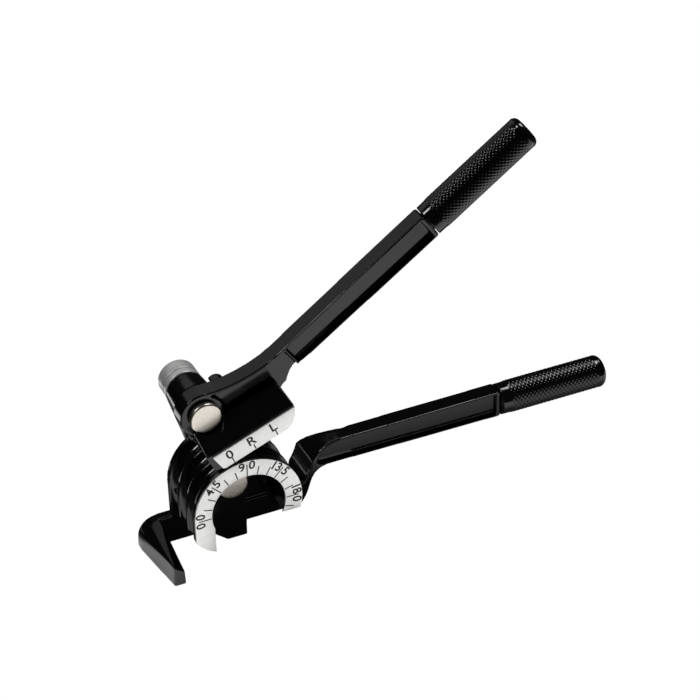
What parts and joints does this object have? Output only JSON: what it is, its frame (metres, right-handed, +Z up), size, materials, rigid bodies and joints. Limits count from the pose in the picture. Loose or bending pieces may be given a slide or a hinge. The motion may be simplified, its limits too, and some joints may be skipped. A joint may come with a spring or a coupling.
{
  "type": "manual tube bender",
  "caption": "Hand tube bender: a grooved horseshoe forming wheel with an angle scale on one handle, a straight forming shoe on the other, joined by a swinging link.",
  "frame": {"origin": "middle of the flat bottom edge of the lower handle's casting, straight below the forming wheel's pivot", "axes": "+X along the lower handle towards its grip, +Z up, -Y out of the front face that carries the scale"},
  "size_m": [0.2458, 0.0543, 0.1895],
  "materials": {
    "black_enamel": "gloss",
    "black_knurl": "semi-gloss over a diamond knurl",
    "scale_silver": "satin with black engraved marks",
    "nickel": "satin nickel",
    "chrome": "polished",
    "zinc_steel": "satin zinc"
  },
  "bodies": {
    "frame": {"lower_handle": "black_enamel", "forming_wheel": "black_enamel", "scale_plate": "scale_silver", "wheel_screw_1": "zinc_steel", "wheel_screw_2": "zinc_steel", "lower_grip": "black_knurl", "lower_grip_pin": "zinc_steel", "wheel_pivot_pin": "nickel", "wheel_pivot_washer": "zinc_steel", "wheel_pivot_nut": "zinc_steel"},
    "link": {"link_plate": "zinc_steel", "link_washer": "zinc_steel", "handle_pivot_pin": "nickel", "handle_pivot_nut": "chrome"},
    "handle": {"upper_handle": "black_enamel", "forming_shoe": "black_enamel", "shoe_scale": "scale_silver", "shoe_screw_1": "zinc_steel", "shoe_screw_2": "zinc_steel", "upper_grip": "black_knurl", "upper_grip_pin": "zinc_steel"}
  },
  "joints": [
    {"name": "link_swing", "type": "hinge", "parent": "frame", "child": "link", "pos_m": [0, 0, 0.0345], "axis": [0, -1, 0], "range_deg": [-96, 78]},
    {"name": "handle_swing", "type": "hinge", "parent": "link", "child": "handle", "pos_m": [-0.0136, 0, 0.0811], "axis": [0, -1, 0], "range_deg": [0, 105]}
  ]
}
